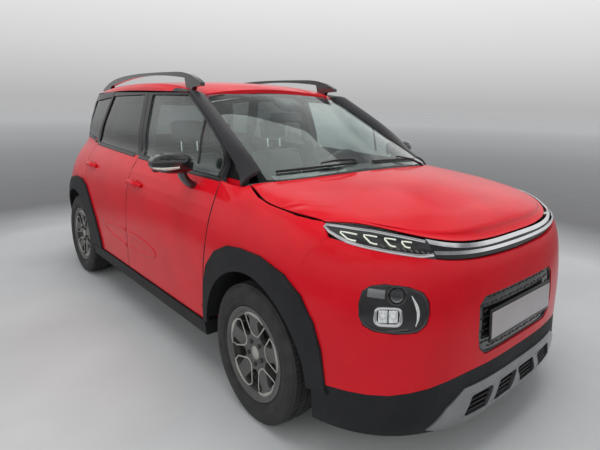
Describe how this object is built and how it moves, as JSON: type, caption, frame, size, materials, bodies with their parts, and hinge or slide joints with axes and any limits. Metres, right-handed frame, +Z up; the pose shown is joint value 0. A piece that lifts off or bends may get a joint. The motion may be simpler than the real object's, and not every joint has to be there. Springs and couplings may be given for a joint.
{
  "type": "compact crossover suv",
  "caption": "Family crossover car with hinged doors, hood and tailgate, steered front wheels, hollow cabin with seats, roof rails and dark plastic cladding.",
  "frame": {"origin": "centre of the overall box, at the ground under the tyres", "axes": "+X forward, +Y to the car's left, +Z up"},
  "size_m": [4.1778, 2.024, 1.6364],
  "materials": {
    "body_paint": "gloss",
    "black_trim": "satin",
    "grey_plastic": "matte",
    "silver_paint": "satin",
    "bright_trim": "polished",
    "lamp_lens": "gloss",
    "red_lens": "gloss",
    "clear_glass": "gloss",
    "dark_glass": "gloss",
    "tyre_rubber": "matte",
    "alloy_wheel": "satin",
    "cast_steel": "matte",
    "engine_alloy": "matte",
    "tank_plastic": "matte",
    "underbody_paint": "satin",
    "seat_fabric": "woven",
    "cabin_plastic": "matte",
    "wiper_black": "matte"
  },
  "bodies": {
    "car_body": {"arch_trims": "grey_plastic", "chrome_bars": "bright_trim", "cowl": "black_trim", "dashboard": "cabin_plastic", "engine_block": "engine_alloy", "exhaust": "cast_steel", "floor_pan": "underbody_paint", "front_bumper": "body_paint", "front_fenders": "body_paint", "front_seats": "seat_fabric", "front_subframe": "cast_steel", "fuel_tank": "tank_plastic", "headlamps": "lamp_lens", "lower_bumper": "grey_plastic", "lower_grille": "black_trim", "post_covers": "black_trim", "rear_axle": "cast_steel", "rear_bench": "seat_fabric", "rear_bumper": "body_paint", "rear_lower_bumper": "grey_plastic", "rear_quarters": "body_paint", "rear_side_windows": "dark_glass", "roof": "body_paint", "roof_rails": "black_trim", "running_lamps": "lamp_lens", "side_frames": "body_paint", "sill_trims": "grey_plastic", "skid_plate": "silver_paint", "tail_lamps": "red_lens", "upper_grille": "black_trim", "wheel_liners": "grey_plastic", "windscreen": "clear_glass", "wipers": "wiper_black"},
    "front_left_door_assembly": {"front_left_door": "body_paint", "front_left_window": "clear_glass", "left_mirror": "black_trim"},
    "rear_left_door_assembly": {"rear_left_door": "body_paint", "rear_left_window": "dark_glass"},
    "left_upright": {"left_knuckle": "cast_steel"},
    "front_left_wheel_assembly": {"front_left_wheel": "alloy_wheel", "front_left_tyre": "tyre_rubber"},
    "rear_left_wheel_assembly": {"rear_left_wheel": "alloy_wheel", "rear_left_tyre": "tyre_rubber"},
    "front_right_door_assembly": {"front_right_door": "body_paint", "front_right_window": "clear_glass", "right_mirror": "black_trim"},
    "rear_right_door_assembly": {"rear_right_door": "body_paint", "rear_right_window": "dark_glass"},
    "right_upright": {"right_knuckle": "cast_steel"},
    "front_right_wheel_assembly": {"front_right_wheel": "alloy_wheel", "front_right_tyre": "tyre_rubber"},
    "rear_right_wheel_assembly": {"rear_right_wheel": "alloy_wheel", "rear_right_tyre": "tyre_rubber"},
    "hood_lid": {"hood": "body_paint"},
    "tailgate_assembly": {"tailgate": "body_paint", "tailgate_window": "dark_glass"},
    "steering": {"steering_wheel": "cabin_plastic"}
  },
  "joints": [
    {"name": "left_steer", "type": "hinge", "parent": "car_body", "child": "left_upright", "pos_m": [1.242, 0.6645, 0.208], "axis": [-0.0585, -0.1599, 0.9854], "range_deg": [-34, 34]},
    {"name": "front_left_wheel_spin", "type": "hinge", "parent": "left_upright", "child": "front_left_wheel_assembly", "pos_m": [1.242, 0.7565, 0.326], "axis": [0, 1, 0], "continuous": true},
    {"name": "rear_left_wheel_spin", "type": "hinge", "parent": "car_body", "child": "rear_left_wheel_assembly", "pos_m": [-1.362, 0.7455, 0.326], "axis": [0, 1, 0], "continuous": true},
    {"name": "front_left_door_hinge", "type": "hinge", "parent": "car_body", "child": "front_left_door_assembly", "pos_m": [0.79688, 0.848, 0.65], "axis": [0, 0, -1], "range_deg": [0, 65]},
    {"name": "rear_left_door_hinge", "type": "hinge", "parent": "car_body", "child": "rear_left_door_assembly", "pos_m": [-0.25537, 0.848, 0.65], "axis": [0, 0, -1], "range_deg": [0, 70]},
    {"name": "right_steer", "type": "hinge", "parent": "car_body", "child": "right_upright", "pos_m": [1.242, -0.6645, 0.208], "axis": [-0.0585, 0.1599, 0.9854], "range_deg": [-34, 34]},
    {"name": "front_right_wheel_spin", "type": "hinge", "parent": "right_upright", "child": "front_right_wheel_assembly", "pos_m": [1.242, -0.7565, 0.326], "axis": [0, 1, 0], "continuous": true},
    {"name": "rear_right_wheel_spin", "type": "hinge", "parent": "car_body", "child": "rear_right_wheel_assembly", "pos_m": [-1.362, -0.7455, 0.326], "axis": [0, 1, 0], "continuous": true},
    {"name": "front_right_door_hinge", "type": "hinge", "parent": "car_body", "child": "front_right_door_assembly", "pos_m": [0.79688, -0.848, 0.65], "axis": [0, 0, 1], "range_deg": [0, 65]},
    {"name": "rear_right_door_hinge", "type": "hinge", "parent": "car_body", "child": "rear_right_door_assembly", "pos_m": [-0.25537, -0.848, 0.65], "axis": [0, 0, 1], "range_deg": [0, 70]},
    {"name": "hood_hinge", "type": "hinge", "parent": "car_body", "child": "hood_lid", "pos_m": [0.975, 0, 1.07], "axis": [0, -1, 0], "range_deg": [0, 48]},
    {"name": "tailgate_hinge", "type": "hinge", "parent": "car_body", "child": "tailgate_assembly", "pos_m": [-1.605, 0, 1.447], "axis": [0, 1, 0], "range_deg": [0, 80]},
    {"name": "steering_column", "type": "hinge", "parent": "car_body", "child": "steering", "pos_m": [0.482, 0.37, 0.965], "axis": [-0.9135, 0, 0.4067], "range_deg": [-480, 480]}
  ],
  "couplings": [
    {"joint": "right_steer", "follows": "left_steer", "ratio": 1},
    {"joint": "steering_column", "follows": "left_steer", "ratio": 14}
  ]
}
